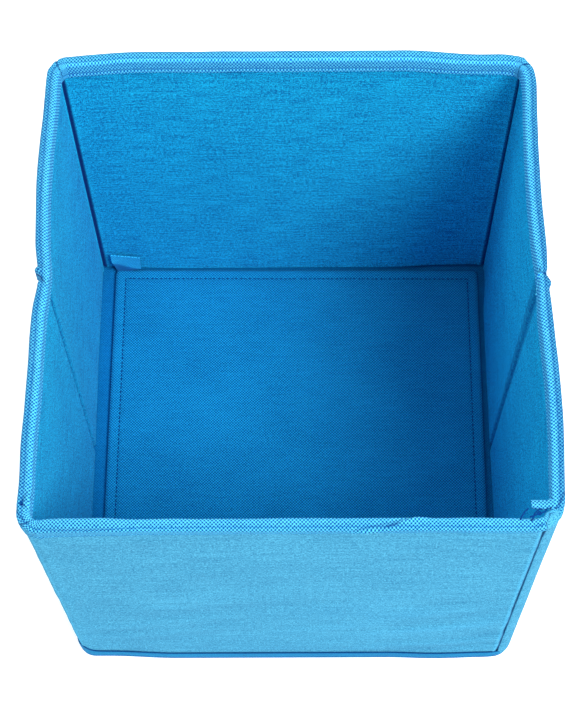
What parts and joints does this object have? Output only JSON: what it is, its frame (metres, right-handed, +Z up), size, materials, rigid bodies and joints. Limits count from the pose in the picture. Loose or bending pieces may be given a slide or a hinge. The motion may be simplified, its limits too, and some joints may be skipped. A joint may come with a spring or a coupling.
{
  "type": "fabric storage bin",
  "caption": "Open-topped square storage bin of cloth over stiff boards, with a bound rim and creased side walls that fold flat once its loose base board is lifted out.",
  "frame": {"origin": "middle of the footprint, on the surface that the bin stands on", "axes": "+Z up through the open top; the front wall faces -Y; the creased side walls face -X and +X"},
  "size_m": [0.3, 0.306, 0.288],
  "materials": {
    "outer_cloth": "plain weave, heathered",
    "lining_cloth": "plain weave, heathered",
    "rim_tape": "twill tape",
    "rim_thread": "spun thread",
    "base_cloth": "twill",
    "base_board_cloth": "oxford weave",
    "base_board_thread": "spun thread",
    "tab_tape": "twill tape",
    "panel_board": "grey chipboard"
  },
  "bodies": {
    "base": {"base_cloth": "base_cloth", "back_cover": "outer_cloth", "back_board": "panel_board", "back_lining": "lining_cloth", "back_foot_strip": "base_cloth", "back_rim_binding": "rim_tape", "back_binding_thread": "rim_thread"},
    "left_back_panel": {"left_back_cover": "outer_cloth", "left_back_board": "panel_board", "left_back_lining": "lining_cloth", "left_back_foot_strip": "base_cloth", "left_back_rim_binding": "rim_tape", "left_back_binding_thread": "rim_thread"},
    "left_front_panel": {"left_front_cover": "outer_cloth", "left_front_board": "panel_board", "left_front_lining": "lining_cloth", "left_front_foot_strip": "base_cloth", "left_front_rim_binding": "rim_tape", "left_front_binding_thread": "rim_thread"},
    "front_wall": {"front_cover": "outer_cloth", "front_board": "panel_board", "front_lining": "lining_cloth", "front_foot_strip": "base_cloth", "front_rim_binding": "rim_tape", "front_binding_thread": "rim_thread", "binding_overlap": "rim_tape"},
    "right_back_panel": {"right_back_cover": "outer_cloth", "right_back_board": "panel_board", "right_back_lining": "lining_cloth", "right_back_foot_strip": "base_cloth", "right_back_rim_binding": "rim_tape", "right_back_binding_thread": "rim_thread"},
    "right_front_panel": {"right_front_cover": "outer_cloth", "right_front_board": "panel_board", "right_front_lining": "lining_cloth", "right_front_foot_strip": "base_cloth", "right_front_rim_binding": "rim_tape", "right_front_binding_thread": "rim_thread"},
    "loose_base": {"base_board": "panel_board", "base_board_cover": "base_board_cloth", "base_board_backing": "base_board_cloth", "base_board_thread": "base_board_thread", "pull_tab": "tab_tape"}
  },
  "joints": [
    {"name": "fold", "type": "hinge", "parent": "base", "child": "left_back_panel", "pos_m": [-0.1427, 0.1457, 0], "axis": [0, 0, 1], "range_deg": [0, 68], "deforming": ["pull_tab"]},
    {"name": "left_crease", "type": "hinge", "parent": "left_back_panel", "child": "left_front_panel", "pos_m": [-0.1503, 0, 0], "axis": [0, 0, 1], "range_deg": [-136, 0]},
    {"name": "left_front_corner", "type": "hinge", "parent": "left_front_panel", "child": "front_wall", "pos_m": [-0.1427, -0.1457, 0], "axis": [0, 0, 1], "range_deg": [0, 68]},
    {"name": "right_back_corner", "type": "hinge", "parent": "base", "child": "right_back_panel", "pos_m": [0.1427, 0.1457, 0], "axis": [0, 0, 1], "range_deg": [-68, 0]},
    {"name": "right_crease", "type": "hinge", "parent": "right_back_panel", "child": "right_front_panel", "pos_m": [0.1503, 0, 0], "axis": [0, 0, 1], "range_deg": [0, 136]},
    {"name": "loose_base_lift", "type": "slide", "parent": "base", "child": "loose_base", "axis": [0, 0, 1], "range_m": [0, 0.32]}
  ],
  "couplings": [
    {"joint": "left_crease", "follows": "fold", "ratio": -2},
    {"joint": "left_front_corner", "follows": "fold", "ratio": 1},
    {"joint": "right_back_corner", "follows": "fold", "ratio": -1},
    {"joint": "right_crease", "follows": "fold", "ratio": 2}
  ]
}
